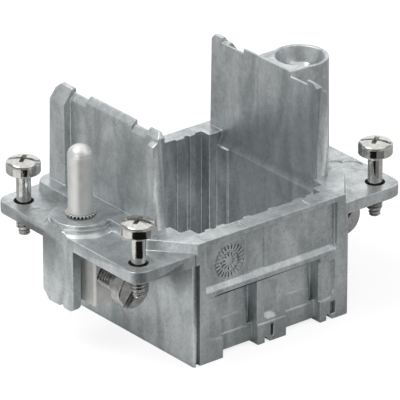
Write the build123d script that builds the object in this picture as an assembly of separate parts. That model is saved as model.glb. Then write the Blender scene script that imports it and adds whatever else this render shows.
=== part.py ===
from build123d import *
import math
import os

# Die-cast docking frame for two rectangular contact modules, in millimetres.
# The origin is the centre of the four mounting screws, on the flange's underside,
# which is the face that meets the panel. +X runs from the guide pin to the guide
# socket, +Z is the mating side, and the earth screws face -Y.
# Heights below are counted from the flange's upper face, where the collar, the
# wings and the boss stand, and every piece is lifted by the flange's thickness
# when it is written.

# Screw pattern and flange
HOLE_PITCH_X = 54.5
HOLE_PITCH_Y = 33.4
HOLE_DIA = 3.7
FLANGE_LENGTH = 61.8
FLANGE_WIDTH = 41.2
FLANGE_THICK = 2.2
FLANGE_CORNER = 2.6
RETAINING_LIP = 0.9
RETAINING_GAP = 0.08
RETAINING_COUNTERSINK = 0.25

# Module window and the skirt that carries the modules
WINDOW_LENGTH = 32.6
WINDOW_WIDTH = 34.2
END_WALL = 1.6
LONG_WALL = 3.6
SKIRT_DEPTH = 22.2
SKIRT_CORNER = 0.6
MODULE_PITCH = 14.5

# Raised collar round the window
COLLAR_RISE = 1.9
COLLAR_LENGTH = 46.0
COLLAR_WIDTH_FAR = 20.2
COLLAR_CORNER = 3.4
COLLAR_CHAMFER_X = 6.0
COLLAR_CHAMFER_Y = 7.2
COLLAR_DRAFT = 8.0

# Corner guides and ribs inside the window
GUIDE_X = 2.2
GUIDE_Y = 2.3
INNER_RIB_PROUD = 0.55
# Ribs behind each module, as distance from the module's centre and width
INNER_RIBS = ((-4.4, 1.5), (1.6, 2.0), (4.4, 1.5))
END_PAD_PROUD = 0.4
END_PAD_WIDTH = 2.9

# Earth contact wings at the two ends of the window
WING_HEIGHT = 20.3
WING_STEP = 0.9
WING_STEP_HEIGHT = 1.5
WING_STEP_FOOT = -0.7
WING_THICK = 1.5
WING_NEAR_LEFT = -11.9
WING_NEAR_RIGHT = -12.4
WING_FAR = 18.6
WING_DRAFT = 1.2
WING_LAND = 0.45
NOTCH_DEPTH = 0.95
COLUMN_WIDTH = 4.7
COLUMN_PROUD = 1.4
COLUMN_BEVEL_DEPTH = 2.0
COLUMN_BEVEL_HEIGHT = 2.7
RIDGE_WIDTH = 2.2
RIDGE_PROUD = 1.15
RIDGE_BEVEL = 1.3
KNOB_CORNER = 0.9
# Each wing's two notches, as the Y of their near and far ends
LEFT_NOTCHES = ((-7.9, -3.9), (9.3, 13.9))
RIGHT_NOTCHES = ((-9.2, -4.6), (8.9, 15.1))

# Guide pin, on a round boss at the left end
GUIDE_X_POS = 25.3
GUIDE_Y_POS = 2.5
BOSS_DIA = 10.9
BOSS_STEP = 0.4
BOSS_STEP_HEIGHT = 1.2
BOSS_FLARE = 0.7
PIN_DIA = 4.5
PIN_HEIGHT = 13.6
PIN_DOME = 1.7
PIN_ROOT_DIA = 4.8
PIN_ROOT_DEPTH = 3.5
KNURL_DIA = 5.6
KNURL_HEIGHT = 0.55
KNURL_TEETH = 24
KNURL_TOOTH = 0.35

# Guide socket tower and its steel bush, at the right end
TOWER_DIA = 11.0
TOWER_HEIGHT = 18.95
TOWER_DRAFT = 0.5
TOWER_WEB = 9.9
MOUTH_DIA = 9.3
MOUTH_DEPTH = 2.7
BUSH_OUTER_DIA = 6.6
BUSH_INNER_DIA = 4.75
BUSH_LENGTH = 13.0

# Pillars under the flange, which back the earth terminals
PILLAR_DEPTH = 14.3
PILLAR_NEAR = -2.4
PILLAR_FAR = 6.4
PILLAR_INNER_X = 20.6
PILLAR_OUTER_WALL = 1.85
PILLAR_ROOF = 2.1
PILLAR_ROUND = 1.7
PILLAR_NOTCH_WIDTH = 1.4
PILLAR_NOTCH_DEPTH = 0.8
PILLAR_NOTCH_Y = 1.0
PILLAR_RIB_NEAR = 3.4
PILLAR_RIB_FAR = 5.2

# Earth terminal blocks, let into the pillars
TERMINAL_X = 24.5
TERMINAL_WIDTH = 5.2
TERMINAL_NEAR = -3.85
TERMINAL_SEAT = 3.0
TERMINAL_HEIGHT = 9.4
TERMINAL_CHAMFER = 0.35
TERMINAL_CORNER = 1.4
TERMINAL_GAP = 0.02
WIRE_HOLE_DIA = 3.4
WIRE_HOLE_Y = 0.3
TAPPED_PAST_WIRE = 0.3

# Slotted earth screws, shown backed out
EARTH_THREAD_DIA = 4.0
EARTH_THREAD_GAP = 0.05
EARTH_AXIS_Z = -8.2
EARTH_HEAD_DIA = 7.0
EARTH_HEAD_THICK = 2.6
EARTH_HEAD_EDGE = 0.35
EARTH_BACKED_OUT = 5.55
EARTH_TIP_CHAMFER = 0.5
EARTH_SCREW_LENGTH = 8.0
EARTH_SLOT_WIDTH = 1.2
EARTH_SLOT_DEPTH = 1.1
EARTH_SLOT_TURN = 52.0

# Captive mounting screws, shown raised
SCREW_HEAD_DIA = 6.35
SCREW_HEAD_THICK = 2.75
SCREW_HEAD_DOME = 0.4
SCREW_HEAD_EDGE = 0.7
SCREW_HEAD_UNDER_EDGE = 0.25
SCREW_RAISE = 5.65
SCREW_COLLAR_DIA = 3.3
SCREW_COLLAR_THICK = 0.6
SCREW_SHANK_DIA = 2.7
SCREW_THREAD_DIA = 3.0
SCREW_THREAD_GAP = 0.05
SCREW_THREAD_LENGTH = 3.1
SCREW_TIP_DIA = 2.2
SCREW_TIP_LENGTH = 1.3
SCREW_TIP_CHAMFER = 0.3
RECESS_WING = 3.3
RECESS_WIDTH = 0.85
RECESS_DEPTH = 1.2
SCREW_SLOT_WIDTH = 0.8
SCREW_SLOT_DEPTH = 0.6
RECESS_TURN = 20.0

# Long faces of the skirt: the sunk upper panel
PANEL_HALF = 15.1
PANEL_TOP = 0.8
PANEL_BOTTOM = -8.5
PANEL_SINK = 0.9
STAMP_X = -9.2
STAMP_Z = -3.9
STAMP_DIA = 6.8
STAMP_SINK = 0.12
PANEL_PAD_X0 = -5.5
PANEL_PAD_X1 = -1.2
PANEL_PAD_SINK = 0.25

# Latch pockets, one for each module, below the panel's ledge
LATCH_WIDTH = 7.9
LATCH_TOP = -9.3
LATCH_RAMP_FOOT = -15.35
LATCH_STEP_LOW = -18.5
LATCH_HEAD_Y = 2.9
LATCH_RAMP_Y = 2.3
LATCH_PLATE_Y = 2.05
LATCH_FOOT_Y = 1.75
LATCH_FOOT_RISE = 0.5
LATCH_SLOT_WIDTH = 1.0
LATCH_SLOT_DEPTH = 2.9

# Posts between the latch pockets, with their scoops and feet
POST_SINK = 0.25
FOOT_TOP = -18.2
FOOT_NOTCH = 0.5
FOOT_NOTCH_RISE = 1.2
FOOT_NOTCH_OFFSET = 1.45
FOOT_EASE = 0.8
FOOT_SLIT_WIDTH = 0.75
END_SLIT_WIDTH = 1.25
END_SLIT_OFFSET = -0.3
FOOT_SLIT_TOP = -18.7
FOOT_SLIT_BOTTOM = -21.1
FOOT_SLIT_DEPTH = 1.2
SCOOP_WIDTH = 3.7
SCOOP_FLANK = 0.75
SCOOP_TOP = -10.3
SCOOP_BOTTOM = -17.9
SCOOP_DEPTH = 1.3
SCOOP_SLOPE = 1.1
END_SCOOP_X = 14.55
END_SCOOP_BOTTOM = -18.06
END_SCOOP_SINK = 0.5
EDGE_GROOVE_X = 17.05
EDGE_GROOVE_WIDTH = 0.9
EDGE_GROOVE_DEPTH = 0.9

# Moulding marks on the flange and collar
EJECTOR_DIA = 4.2
EJECTOR_SINK = 0.15
EJECTOR_SPOTS = ((-28.2, 10.7), (28.4, -8.7), (26.0, -6.6))
MARK_PAD_LENGTH = 3.8
MARK_PAD_WIDTH = 2.4
MARK_PAD_SINK = 0.2
MARK_PAD_SPREAD = 7.35

# Cuts run this far past the faces that they open
OVERCUT = 1.0

# Sizes that follow from the ones above
WINDOW_X = WINDOW_LENGTH / 2
WINDOW_Y = WINDOW_WIDTH / 2
SKIRT_X = WINDOW_X + END_WALL
SKIRT_Y = WINDOW_Y + LONG_WALL
WING_INNER = WINDOW_X + WING_STEP
WING_OUTER = WING_INNER + WING_THICK
FLANGE_END = FLANGE_LENGTH / 2
NEAR_FACE = -SKIRT_Y
PANEL_FACE = NEAR_FACE + PANEL_SINK
BELOW_SKIRT = -SKIRT_DEPTH - OVERCUT
ABOVE_COLLAR = COLLAR_RISE + OVERCUT
POST_HALF = MODULE_PITCH / 2 - LATCH_WIDTH / 2
RETAINING_DIA = SCREW_SHANK_DIA + 2 * RETAINING_GAP
BUSH_TOP = TOWER_HEIGHT - MOUTH_DEPTH
BUSH_LEAD = (BUSH_OUTER_DIA - BUSH_INNER_DIA) / 2
TERMINAL_TOP = -FLANGE_THICK - PILLAR_ROOF
TERMINAL_BOTTOM = TERMINAL_TOP - TERMINAL_HEIGHT
EARTH_HEAD_FACE = TERMINAL_NEAR - EARTH_BACKED_OUT - EARTH_HEAD_THICK
SCREW_PLACES = {
    "front_left": (-HOLE_PITCH_X / 2, -HOLE_PITCH_Y / 2),
    "front_right": (HOLE_PITCH_X / 2, -HOLE_PITCH_Y / 2),
    "back_left": (-HOLE_PITCH_X / 2, HOLE_PITCH_Y / 2),
    "back_right": (HOLE_PITCH_X / 2, HOLE_PITCH_Y / 2),
}


def block(x0, x1, y0, y1, z0, z1):
    """A box between two corners."""
    middle = Pos((x0 + x1) / 2, (y0 + y1) / 2, (z0 + z1) / 2)
    return middle * Box(abs(x1 - x0), abs(y1 - y0), abs(z1 - z0))


def rod(dia, length, x=0.0, y=0.0, z=0.0):
    """An upright cylinder that starts at a height."""
    return Pos(x, y, z + length / 2) * Cylinder(dia / 2, length)


def both_ends(shape):
    """The shape and its mirror image in X."""
    return shape + mirror(shape, about=Plane.YZ)


def both_sides(shape):
    """The shape and its mirror image in Y."""
    return shape + mirror(shape, about=Plane.XZ)


def prism_along_x(points, x0, x1):
    """A closed outline of (y, z) points, run along X."""
    face = make_face(Polyline([(0, y, z) for y, z in points], close=True))
    return Pos(x0, 0, 0) * extrude(face, x1 - x0, dir=(1, 0, 0))


def prism_along_y(points, y0, y1):
    """A closed outline of (x, z) points, run along Y."""
    face = make_face(Polyline([(x, 0, z) for x, z in points], close=True))
    return Pos(0, y0, 0) * extrude(face, y1 - y0, dir=(0, 1, 0))


def flange():
    """The flat flange with four rounded corners."""
    outline = RectangleRounded(FLANGE_LENGTH, FLANGE_WIDTH, FLANGE_CORNER)
    return Pos(0, 0, -FLANGE_THICK) * extrude(outline, FLANGE_THICK)


def collar():
    """The raised collar: rounded at the far corners, cut off at the near ones."""
    half = COLLAR_LENGTH / 2
    near_corner = NEAR_FACE + COLLAR_CHAMFER_Y
    far_corner = COLLAR_WIDTH_FAR - COLLAR_CORNER
    side = Polyline(
        (-half, far_corner),
        (-half, near_corner),
        (COLLAR_CHAMFER_X - half, NEAR_FACE),
        (half - COLLAR_CHAMFER_X, NEAR_FACE),
        (half, near_corner),
        (half, far_corner),
    )
    right = RadiusArc((half, far_corner), (half - COLLAR_CORNER, COLLAR_WIDTH_FAR), -COLLAR_CORNER)
    back = Line((half - COLLAR_CORNER, COLLAR_WIDTH_FAR), (COLLAR_CORNER - half, COLLAR_WIDTH_FAR))
    left = RadiusArc((COLLAR_CORNER - half, COLLAR_WIDTH_FAR), (-half, far_corner), -COLLAR_CORNER)
    outline = make_face(side + right + back + left)
    rim = extrude(outline, COLLAR_RISE, taper=COLLAR_DRAFT)

    # the near side of the collar stands upright, flush with the skirt below it
    upright = block(
        COLLAR_CHAMFER_X - half, half - COLLAR_CHAMFER_X, NEAR_FACE, -WINDOW_Y, 0, COLLAR_RISE
    )
    return rim + upright


def skirt():
    """The deep open box that holds the modules, still without its window."""
    outline = RectangleRounded(2 * SKIRT_X, 2 * SKIRT_Y, SKIRT_CORNER)
    return Pos(0, 0, -SKIRT_DEPTH) * extrude(outline, SKIRT_DEPTH)


def window_cut():
    """The way through for the modules, less the corner guides and the wall ribs."""
    cut = block(-WINDOW_X, WINDOW_X, -WINDOW_Y, WINDOW_Y, BELOW_SKIRT, ABOVE_COLLAR)
    guide = block(
        WINDOW_X - GUIDE_X, WINDOW_X, WINDOW_Y - GUIDE_Y, WINDOW_Y, BELOW_SKIRT, ABOVE_COLLAR
    )
    end_pad = block(
        WINDOW_X - END_PAD_PROUD, WINDOW_X, WINDOW_Y - GUIDE_Y - END_PAD_WIDTH, WINDOW_Y - GUIDE_Y,
        BELOW_SKIRT, WING_STEP_FOOT,
    )
    ribs = None
    for offset, width in INNER_RIBS:
        rib = block(
            offset - width / 2, offset + width / 2,
            WINDOW_Y - INNER_RIB_PROUD, WINDOW_Y, BELOW_SKIRT, ABOVE_COLLAR,
        )
        ribs = rib if ribs is None else ribs + rib
    ribs = Pos(MODULE_PITCH / 2, 0, 0) * ribs
    return cut - both_sides(both_ends(guide + end_pad)) - both_sides(both_ends(ribs))


def wing_plate(near, notches):
    """The flat plate of the right wing, a span at a time, with its two notches."""
    ends = [near]
    for start, end in notches:
        ends += [start, end]
    ends.append(WING_FAR)
    bevel = WING_THICK - WING_LAND
    plate = None
    for index in range(len(ends) - 1):
        is_notch = index % 2 == 1
        top = WING_HEIGHT - NOTCH_DEPTH if is_notch else WING_HEIGHT
        section = [
            (WING_INNER, 0), (WING_OUTER, 0), (WING_OUTER, top - bevel),
            (WING_INNER + WING_LAND, top), (WING_INNER, top),
        ]
        span = prism_along_y(section, ends[index], ends[index + 1])
        plate = span if plate is None else plate + span
    return plate


def wing_column(last_notch_end):
    """The thick column at the wing's far end, bevelled at its head."""
    outer = WING_OUTER + COLUMN_PROUD
    column = prism_along_y(
        [
            (WING_INNER, 0), (outer, 0), (outer, WING_HEIGHT - COLUMN_BEVEL_HEIGHT),
            (outer - COLUMN_BEVEL_DEPTH, WING_HEIGHT), (WING_INNER, WING_HEIGHT),
        ],
        WING_FAR - COLUMN_WIDTH, WING_FAR,
    )
    knob = block(WING_INNER, outer, last_notch_end, WING_FAR, 0, WING_HEIGHT)
    below_notch = block(
        WING_INNER, outer, WING_FAR - COLUMN_WIDTH, WING_FAR, 0, WING_HEIGHT - NOTCH_DEPTH
    )
    return column & (knob + below_notch)


def wing_ridge(near):
    """The narrow ridge at the wing's near end, flush with its end face."""
    outer = WING_OUTER + RIDGE_PROUD
    top = WING_HEIGHT - NOTCH_DEPTH
    return prism_along_y(
        [
            (WING_INNER, 0), (outer, 0), (outer, top - RIDGE_BEVEL),
            (WING_INNER + WING_LAND, top), (WING_INNER, top),
        ],
        near, near + RIDGE_WIDTH,
    )


def wing(near, notches):
    """One earth contact wing at the right end, standing on the flange."""
    shape = wing_plate(near, notches) + wing_column(notches[-1][-1]) + wing_ridge(near)

    # the ends lean in with the draft, and the two end knobs lose their corners
    lean = math.tan(math.radians(WING_DRAFT)) * WING_HEIGHT
    shoulder = WING_HEIGHT - KNOB_CORNER
    envelope = prism_along_x(
        [
            (near, 0), (WING_FAR, 0), (WING_FAR - lean, shoulder),
            (WING_FAR - lean - KNOB_CORNER, WING_HEIGHT),
            (near + lean + KNOB_CORNER, WING_HEIGHT), (near + lean, shoulder),
        ],
        WING_INNER, WING_OUTER + COLUMN_PROUD,
    )
    return shape & envelope


def wing_step_cut(near):
    """A steep slope widens the window's right end to the wing's inner face."""
    inside = WINDOW_X - OVERCUT
    return prism_along_y(
        [
            (inside, WING_STEP_FOOT), (WINDOW_X, WING_STEP_FOOT), (WING_INNER, WING_STEP_HEIGHT),
            (WING_INNER, ABOVE_COLLAR), (inside, ABOVE_COLLAR),
        ],
        near, WINDOW_Y - GUIDE_Y,
    )


def pin_boss():
    """The round boss under the guide pin, with a small step and a flared foot."""
    step_radius = BOSS_DIA / 2 + BOSS_STEP
    boss = rod(BOSS_DIA, COLLAR_RISE) + rod(2 * step_radius, BOSS_STEP_HEIGHT)
    foot = Pos(0, 0, BOSS_FLARE / 2) * Cone(step_radius + BOSS_FLARE, step_radius, BOSS_FLARE)
    over_flange = block(-FLANGE_END, 0, -FLANGE_WIDTH / 2, FLANGE_WIDTH / 2, 0, COLLAR_RISE)
    return Pos(-GUIDE_X_POS, GUIDE_Y_POS, 0) * (boss + foot) & over_flange


def socket_tower():
    """The round tower of the guide socket and the web that joins it to the wing."""
    tower = extrude(Circle(TOWER_DIA / 2), TOWER_HEIGHT, taper=TOWER_DRAFT)
    reach = GUIDE_X_POS - WING_OUTER + WING_LAND
    web = block(-reach, 0, -TOWER_WEB / 2, TOWER_WEB / 2, 0, TOWER_HEIGHT)
    return Pos(GUIDE_X_POS, GUIDE_Y_POS, 0) * (tower + web)


def socket_cut():
    """The funnel mouth and the blind seat that holds the bush."""
    funnel = Pos(0, 0, BUSH_TOP + MOUTH_DEPTH / 2) * Cone(BUSH_OUTER_DIA / 2, MOUTH_DIA / 2, MOUTH_DEPTH)
    seat = rod(BUSH_OUTER_DIA, BUSH_LENGTH, z=BUSH_TOP - BUSH_LENGTH)
    return Pos(GUIDE_X_POS, GUIDE_Y_POS, 0) * (funnel + seat)


def pillar():
    """The right-hand pillar under the flange, open at the near side for the terminal."""
    bottom = -PILLAR_DEPTH
    profile = [
        (PILLAR_NEAR, -FLANGE_THICK),
        (PILLAR_NEAR, bottom + PILLAR_NOTCH_DEPTH),
        (PILLAR_NEAR + PILLAR_NOTCH_DEPTH, bottom),
        (PILLAR_NOTCH_Y - PILLAR_NOTCH_WIDTH / 2, bottom),
        (PILLAR_NOTCH_Y, bottom + PILLAR_NOTCH_DEPTH),
        (PILLAR_NOTCH_Y + PILLAR_NOTCH_WIDTH / 2, bottom),
        (PILLAR_FAR - PILLAR_ROUND, bottom),
        (PILLAR_FAR, bottom + PILLAR_ROUND),
        (PILLAR_FAR, -FLANGE_THICK),
    ]
    body = prism_along_x(profile, PILLAR_INNER_X, FLANGE_END)
    open_front = block(
        PILLAR_INNER_X - OVERCUT, FLANGE_END - PILLAR_OUTER_WALL, PILLAR_NEAR - OVERCUT, 0,
        bottom - OVERCUT, TERMINAL_TOP,
    )
    half = TERMINAL_WIDTH / 2 + TERMINAL_GAP
    seat = block(
        TERMINAL_X - half, TERMINAL_X + half, -OVERCUT, TERMINAL_SEAT + TERMINAL_GAP,
        bottom - OVERCUT, TERMINAL_TOP,
    )
    rib = block(
        SKIRT_X - END_WALL / 2, PILLAR_INNER_X, PILLAR_RIB_NEAR, PILLAR_RIB_FAR, bottom, -FLANGE_THICK
    )
    return body - open_front - seat + rib


def screw_holes():
    """Four stepped holes: wide at the top, with a lip below that keeps the thread."""
    sunk = RETAINING_DIA / 2 + RETAINING_COUNTERSINK
    lead = Cone(sunk, RETAINING_DIA / 2, RETAINING_COUNTERSINK)
    cut = None
    for x, y in SCREW_PLACES.values():
        wide = rod(HOLE_DIA, FLANGE_THICK + OVERCUT, x, y, RETAINING_LIP - FLANGE_THICK)
        narrow = rod(RETAINING_DIA, FLANGE_THICK + OVERCUT, x, y, -FLANGE_THICK - OVERCUT)
        stepped = wide + narrow + Pos(x, y, RETAINING_COUNTERSINK / 2 - FLANGE_THICK) * lead
        cut = stepped if cut is None else cut + stepped
    return cut


def panel_cut():
    """The sunk upper panel of the near face, with the sloped ledge at its foot."""
    outside = NEAR_FACE - OVERCUT
    return prism_along_x(
        [
            (outside, PANEL_TOP), (PANEL_FACE, PANEL_TOP), (PANEL_FACE, PANEL_BOTTOM + PANEL_SINK),
            (NEAR_FACE, PANEL_BOTTOM), (outside, PANEL_BOTTOM),
        ],
        -PANEL_HALF, PANEL_HALF,
    )


def latch_cut():
    """One latch pocket of the near face: ramp, two steps and side slots."""
    half = LATCH_WIDTH / 2
    outside = NEAR_FACE - OVERCUT
    inside = -WINDOW_Y + OVERCUT
    head = NEAR_FACE + LATCH_HEAD_Y
    plate = NEAR_FACE + LATCH_PLATE_Y
    foot = NEAR_FACE + LATCH_FOOT_Y
    bottom = LATCH_FOOT_RISE - SKIRT_DEPTH
    profile = [
        (outside, LATCH_TOP), (head, LATCH_TOP),
        (NEAR_FACE + LATCH_RAMP_Y, LATCH_RAMP_FOOT), (plate, LATCH_RAMP_FOOT),
        (plate, LATCH_STEP_LOW), (foot, LATCH_STEP_LOW),
        (foot, bottom), (inside, bottom), (inside, BELOW_SKIRT), (outside, BELOW_SKIRT),
    ]
    cut = prism_along_x(profile, -half, half)
    slot = block(
        half - LATCH_SLOT_WIDTH, half, outside, NEAR_FACE + LATCH_SLOT_DEPTH, FOOT_TOP, LATCH_TOP
    )
    return cut + both_ends(slot)


def foot_cuts(slit_x, slit_width):
    """The notch and the slit that part the foot of a post, centred on X = 0."""
    outside = NEAR_FACE - OVERCUT
    slit = block(
        slit_x - slit_width / 2, slit_x + slit_width / 2, outside, NEAR_FACE + FOOT_SLIT_DEPTH,
        FOOT_SLIT_BOTTOM, FOOT_SLIT_TOP,
    )
    notch = block(
        -FOOT_NOTCH / 2, FOOT_NOTCH / 2, outside, NEAR_FACE + LATCH_FOOT_Y,
        BELOW_SKIRT, FOOT_NOTCH_RISE - SKIRT_DEPTH,
    )
    eased = prism_along_y(
        [
            (FOOT_NOTCH / 2, -SKIRT_DEPTH - OVERCUT), (FOOT_NOTCH / 2 + FOOT_EASE, -SKIRT_DEPTH - OVERCUT),
            (FOOT_NOTCH / 2 + FOOT_EASE, -SKIRT_DEPTH), (FOOT_NOTCH / 2, FOOT_EASE - SKIRT_DEPTH),
        ],
        outside, NEAR_FACE + LATCH_FOOT_Y,
    )
    return slit + Pos(-FOOT_NOTCH_OFFSET, 0, 0) * (notch + eased)


def scoop_cut():
    """The round-bottomed scoop of the middle post, with sloping flanks and floor."""
    radius = SCOOP_WIDTH / 2
    outside = NEAR_FACE - OVERCUT
    back = NEAR_FACE + SCOOP_DEPTH
    outline = block(-radius, radius, outside, back, SCOOP_BOTTOM + radius, SCOOP_TOP)
    outline += Pos(0, back, SCOOP_BOTTOM + radius) * Rot(90, 0, 0) * rod(SCOOP_WIDTH, SCOOP_DEPTH + OVERCUT)
    profile = prism_along_x(
        [
            (outside, SCOOP_BOTTOM), (NEAR_FACE, SCOOP_BOTTOM), (back, SCOOP_BOTTOM + SCOOP_SLOPE),
            (back, SCOOP_TOP), (outside, SCOOP_TOP),
        ],
        -radius, radius,
    )
    floor = radius - SCOOP_FLANK
    plan = [
        (-radius, outside), (radius, outside), (radius, NEAR_FACE), (floor, back), (-floor, back),
        (-radius, NEAR_FACE),
    ]
    flanks = make_face(Polyline([(x, y, SCOOP_BOTTOM) for x, y in plan], close=True))
    return outline & profile & extrude(flanks, SCOOP_TOP - SCOOP_BOTTOM, dir=(0, 0, 1))


def end_scoop_cut():
    """The shallow recess of the right-hand post, open to its latch pocket."""
    radius = SCOOP_WIDTH / 2
    outside = NEAR_FACE - OVERCUT
    back = NEAR_FACE + END_SCOOP_SINK
    inner = MODULE_PITCH - POST_HALF - OVERCUT
    low = END_SCOOP_BOTTOM + radius
    recess = block(inner, END_SCOOP_X, outside, back, low, SCOOP_TOP)
    recess += block(inner, END_SCOOP_X - radius, outside, back, END_SCOOP_BOTTOM, SCOOP_TOP)
    corner = Pos(END_SCOOP_X - radius, back, low) * Rot(90, 0, 0) * rod(SCOOP_WIDTH, END_SCOOP_SINK + OVERCUT)
    return recess + corner


def long_face_cuts():
    """Everything that both long faces of the skirt have, drawn on the near one."""
    outside = NEAR_FACE - OVERCUT
    cuts = panel_cut() + scoop_cut()
    for way in (-1, 1):
        cuts += Pos(way * MODULE_PITCH / 2, 0, 0) * latch_cut()
    cuts += foot_cuts(0, FOOT_SLIT_WIDTH)
    cuts += Pos(MODULE_PITCH, 0, 0) * foot_cuts(END_SLIT_OFFSET, END_SLIT_WIDTH)
    cuts += block(-POST_HALF, POST_HALF, outside, NEAR_FACE + POST_SINK, FOOT_TOP, LATCH_TOP)
    cuts += block(
        -EDGE_GROOVE_X - EDGE_GROOVE_WIDTH / 2, EDGE_GROOVE_WIDTH / 2 - EDGE_GROOVE_X,
        outside, NEAR_FACE + EDGE_GROOVE_DEPTH, BELOW_SKIRT, -FLANGE_THICK,
    )
    return cuts + both_ends(end_scoop_cut())


def panel_marks():
    """The round stamp seat and the sunk pad, on the near panel only."""
    stamp = Rot(90, 0, 0) * rod(STAMP_DIA, STAMP_SINK + OVERCUT)
    stamp = Pos(STAMP_X, PANEL_FACE + STAMP_SINK, STAMP_Z) * stamp
    pad = block(
        PANEL_PAD_X0, PANEL_PAD_X1, PANEL_FACE - OVERCUT, PANEL_FACE + PANEL_PAD_SINK,
        PANEL_BOTTOM + PANEL_SINK, PANEL_TOP,
    )
    return stamp + pad


def top_marks():
    """Ejector spots on the flange and sunk marking pads on the near side of the collar."""
    cut = None
    for x, y in EJECTOR_SPOTS:
        spot = rod(EJECTOR_DIA, EJECTOR_SINK + OVERCUT, x, y, -EJECTOR_SINK)
        cut = spot if cut is None else cut + spot
    middle_y = -(WINDOW_Y + SKIRT_Y) / 2
    for middle in (-MARK_PAD_SPREAD, MARK_PAD_SPREAD):
        cut += block(
            middle - MARK_PAD_LENGTH / 2, middle + MARK_PAD_LENGTH / 2,
            middle_y - MARK_PAD_WIDTH / 2, middle_y + MARK_PAD_WIDTH / 2,
            COLLAR_RISE - MARK_PAD_SINK, ABOVE_COLLAR,
        )
    return cut


def frame_casting():
    """The whole zinc casting, one piece."""
    body = flange() + collar() + skirt()
    body += pin_boss()
    body += both_ends(pillar())
    body -= window_cut()
    body += socket_tower()
    body += wing(WING_NEAR_RIGHT, RIGHT_NOTCHES)
    body += mirror(wing(WING_NEAR_LEFT, LEFT_NOTCHES), about=Plane.YZ)
    body -= wing_step_cut(WING_NEAR_RIGHT)
    body -= mirror(wing_step_cut(WING_NEAR_LEFT), about=Plane.YZ)
    body -= socket_cut()
    body -= screw_holes()
    body -= both_sides(long_face_cuts())
    body -= panel_marks()
    body -= top_marks()
    body -= rod(PIN_ROOT_DIA, ABOVE_COLLAR + PIN_ROOT_DEPTH, -GUIDE_X_POS, GUIDE_Y_POS, -PIN_ROOT_DEPTH)
    return body


def guide_pin():
    """The turned steel pin: pressed root, knurled ring and domed nose."""
    radius = PIN_DIA / 2
    top = COLLAR_RISE + PIN_HEIGHT
    dome_radius = (radius ** 2 + PIN_DOME ** 2) / (2 * PIN_DOME)
    dome = Pos(0, 0, top - dome_radius) * Sphere(dome_radius)
    dome &= rod(PIN_DIA, PIN_DOME, z=top - PIN_DOME)
    shank = rod(PIN_DIA, PIN_HEIGHT - PIN_DOME, z=COLLAR_RISE)
    root = rod(PIN_ROOT_DIA, COLLAR_RISE + PIN_ROOT_DEPTH, z=-PIN_ROOT_DEPTH)
    points = []
    for index in range(2 * KNURL_TEETH):
        reach = KNURL_DIA / 2 - KNURL_TOOTH * (index % 2)
        turn = math.pi * index / KNURL_TEETH
        points.append((reach * math.cos(turn), reach * math.sin(turn)))
    knurl = Pos(0, 0, COLLAR_RISE) * extrude(make_face(Polyline(points, close=True)), KNURL_HEIGHT)
    return Pos(-GUIDE_X_POS, GUIDE_Y_POS, 0) * (root + shank + dome + knurl)


def guide_bush():
    """The steel bush that lines the guide socket and carries its funnel on."""
    foot = BUSH_TOP - BUSH_LENGTH
    body = rod(BUSH_OUTER_DIA, BUSH_LENGTH, z=foot)
    bore = rod(BUSH_INNER_DIA, BUSH_LENGTH + 2 * OVERCUT, z=foot - OVERCUT)
    lead = Pos(0, 0, BUSH_TOP - BUSH_LEAD / 2) * Cone(BUSH_INNER_DIA / 2, BUSH_OUTER_DIA / 2, BUSH_LEAD)
    return Pos(GUIDE_X_POS, GUIDE_Y_POS, 0) * (body - bore - lead)


def recess_and_slot(head_top):
    """The cross recess and the slot across it, cut into a mounting screw's head."""
    arm = block(
        -RECESS_WING / 2, RECESS_WING / 2, -RECESS_WIDTH / 2, RECESS_WIDTH / 2,
        head_top - RECESS_DEPTH, head_top + OVERCUT,
    )
    slot = block(
        -SCREW_HEAD_DIA, SCREW_HEAD_DIA, -SCREW_SLOT_WIDTH / 2, SCREW_SLOT_WIDTH / 2,
        head_top - SCREW_SLOT_DEPTH, head_top + OVERCUT,
    )
    return Rot(0, 0, RECESS_TURN) * (arm + Rot(0, 0, 90) * arm + slot)


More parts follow.
